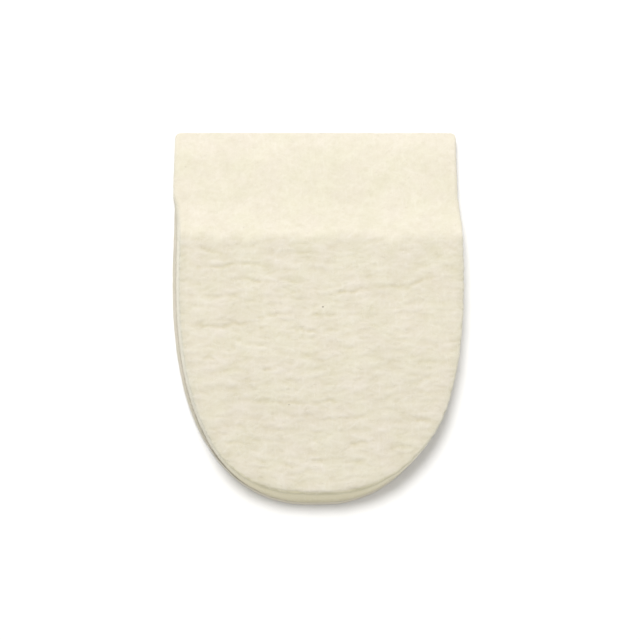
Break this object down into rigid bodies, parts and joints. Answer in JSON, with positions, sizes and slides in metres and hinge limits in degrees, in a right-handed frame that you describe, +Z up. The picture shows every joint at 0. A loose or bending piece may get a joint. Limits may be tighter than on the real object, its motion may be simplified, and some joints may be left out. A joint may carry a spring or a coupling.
{
  "type": "heel pad",
  "caption": "U-shaped wool felt heel pad with a thick flat heel zone, a short ramp and a thin front tab, on a thin felt ply.",
  "frame": {"origin": "middle of the box, on the underside that rests on the surface", "axes": "+Z up, +Y towards the straight front edge, -Y towards the rounded heel end, +X to the right seen from the heel end"},
  "size_m": [0.0642, 0.0874, 0.0064],
  "materials": {
    "wool_felt": "soft matt cream wool felt with a wrinkled, fuzzy face",
    "ply_felt": "dense matt cream felt, cut edge"
  },
  "bodies": {
    "root": {"felt_pad": "wool_felt", "base_ply": "ply_felt"}
  },
  "joints": []
}
